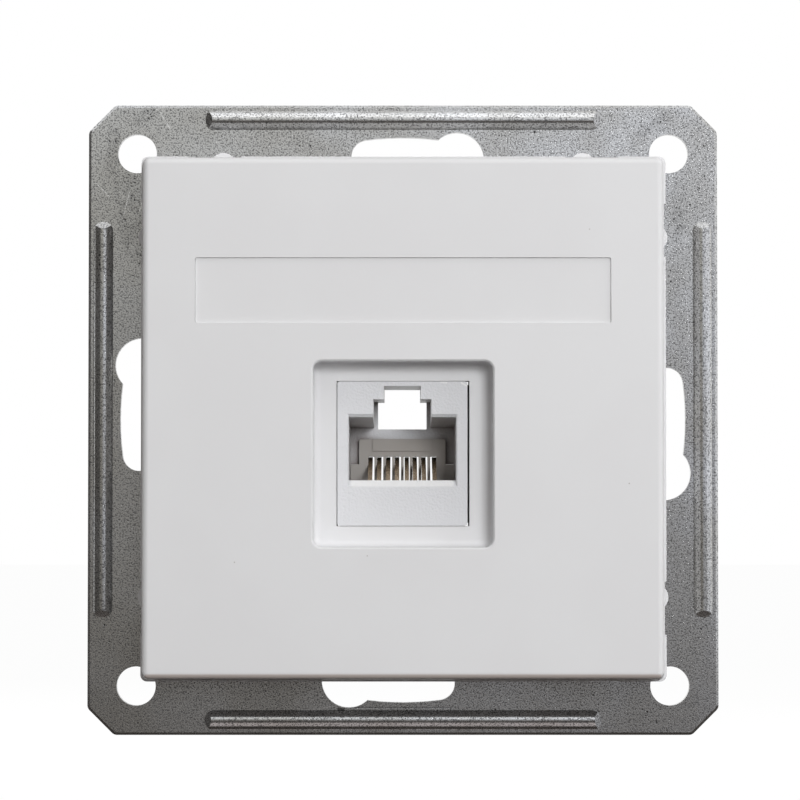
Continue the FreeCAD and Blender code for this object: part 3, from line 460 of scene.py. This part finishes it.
def makeFloor():
    bpy.ops.object.select_all(action="DESELECT")
    drop = (0, 0, -studio["floorDrop"])
    bpy.ops.mesh.primitive_plane_add(size=studio["floorSize"], location=drop)
    floor = bpy.context.object
    floor.name = "studioFloor"
    floor.data.materials.append(paperFinish("studioPaper").material)


def makeSky():
    # white to the eye and in gloss, dim and warm as a light
    world = bpy.data.worlds.new("studioSky")
    bpy.context.scene.world = world
    world.use_nodes = True
    sky = Nodes(world.node_tree)
    background = sky.tree.nodes["Background"]
    seen = sky.ray("Camera").larger(sky.ray("Glossy").larger(sky.ray("Transmission")))
    values = {"Value": seen, "To Min": studio["sky"], "To Max": 1.0}
    sky.feed(background.inputs["Strength"], sky.node("ShaderNodeMapRange", {}, values))
    sky.feed(background.inputs["Color"], sky.blend(seen, studio["skyTint"], white))


softBoxes = {
    "key": {"place": (0.165, -0.66, 0.14), "size": 0.2, "power": 3.0, "tint": (0.98, 0.99, 1.0)},
    "overhead": {"place": (0.05, -0.22, 0.5), "size": 0.5, "power": 0.75, "mirrored": True},
    "rightRim": {"place": (0.5, -0.2, 0.1), "size": 0.35, "power": 0.9},
    "leftFill": {
        "place": (-0.3, -0.6, 0.05),
        "size": 0.35,
        "power": 0.4,
        "tint": (1.0, 0.98, 0.96),
    },
    "rearKey": {"place": (-0.25, 0.62, 0.3), "size": 0.35, "power": 2.9},
    "rearFill": {"place": (0.35, 0.55, 0.1), "size": 0.35, "power": 1.3},
}


def makeLamps():
    for name, box in softBoxes.items():
        data = bpy.data.lights.new(name, "AREA")
        data.size = box["size"]
        data.energy = box["power"]
        data.color = box.get("tint", (1.0, 1.0, 1.0))
        lamp = bpy.data.objects.new(name, data)
        lamp.location = box["place"]
        lamp.rotation_euler = (-Vector(box["place"])).to_track_quat("-Z", "Y").to_euler()
        lamp.visible_glossy = box.get("mirrored", False)
        bpy.context.collection.objects.link(lamp)


# Cards that the camera doesn't see, for the steel to reflect: dark ones have a tone, lit ones a
# light, and the one behind the camera fades from upper right to lower left
cards = {
    "cameraCard": {"middle": (0, -0.75, 0.26), "size": (2.2, 0.67), "turn": (90, 0, 0)},
    "lowerCard": {
        "middle": (0, -0.3, -0.072),
        "size": (2.0, 0.9),
        "turn": (0, 0, 0),
        "tone": colour(0.03, 0.023, 0.018),
    },
    "leftCard": {
        "middle": (-0.5, -0.3, 0.17),
        "size": (0.9, 0.48),
        "turn": (90, 0, 90),
        "tone": colour(0.1, 0.095, 0.09),
    },
    "nearCard": {
        "middle": (0, -0.035, -0.07),
        "size": (0.3, 0.05),
        "turn": (0, 0, 0),
        "light": colour(0.45, 0.4, 0.39),
    },
    "rightCard": {
        "middle": (0.7, -0.35, 0.1),
        "size": (0.8, 0.6),
        "turn": (90, 0, 90),
        "light": colour(0.97, 0.99, 1.04),
    },
    "topCard": {
        "middle": (0, -0.35, 0.8),
        "size": (1.4, 0.8),
        "turn": (0, 0, 0),
        "light": colour(0.66, 0.68, 0.72),
    },
}
cameraGlow = {
    "lowLeft": colour(0.22, 0.205, 0.18),
    "lowRight": colour(0.4, 0.405, 0.43),
    "highLeft": colour(0.7, 0.7, 0.655),
    "highRight": colour(1.12, 1.15, 1.22),
    "top": colour(1.0, 1.01, 1.03),
    "reach": (-0.15, 0.15),  # from where to where each fades, in m
    "riseLeft": (0.045, 0.135),
    "riseRight": (-0.05, 0.2),
    "crown": (0.26, 0.42),
}


def toneFinish(name, tone):
    finish = Finish(name)
    finish.set(Base_Color=tone, Roughness=0.9)
    return finish


def lightFinish(name, light):
    finish = Finish(name)
    finish.set(Base_Color=black, Emission_Color=light, Emission_Strength=1.0)
    return finish


def glowFinish(name, look):
    finish = lightFinish(name, white)
    across = finish.node("ShaderNodeSeparateXYZ", {}, {0: finish.place}, "X")
    up = finish.node("ShaderNodeSeparateXYZ", {}, {0: finish.place}, "Z")
    left = finish.blend(finish.step(up, *look["riseLeft"]), look["lowLeft"], look["highLeft"])
    right = finish.blend(finish.step(up, *look["riseRight"]), look["lowRight"], look["highRight"])
    glow = finish.blend(finish.step(across, *look["reach"]), left, right)
    glow = finish.blend(finish.step(up, *look["crown"]), glow, look["top"])
    finish.set(Emission_Color=glow)
    return finish


def makeCards():
    for name, shape in cards.items():
        bpy.ops.object.select_all(action="DESELECT")
        turn = [math.radians(angle) for angle in shape["turn"]]
        bpy.ops.mesh.primitive_plane_add(size=1.0, location=shape["middle"], rotation=turn)
        card = bpy.context.object
        card.name = name
        card.scale = (*shape["size"], 1)
        bpy.ops.object.transform_apply(location=True, rotation=True, scale=True)
        if "tone" in shape:
            finish = toneFinish(name + "Paper", shape["tone"])
        elif "light" in shape:
            finish = lightFinish(name + "Glow", shape["light"])
        else:
            finish = glowFinish(name + "Glow", cameraGlow)
        card.data.materials.append(finish.material)
        card.visible_camera = False
        card.visible_diffuse = "tone" in shape


makeFloor()
makeSky()
makeLamps()
makeCards()
bpy.context.scene.view_settings.view_transform = "Standard"
print("studio ready")
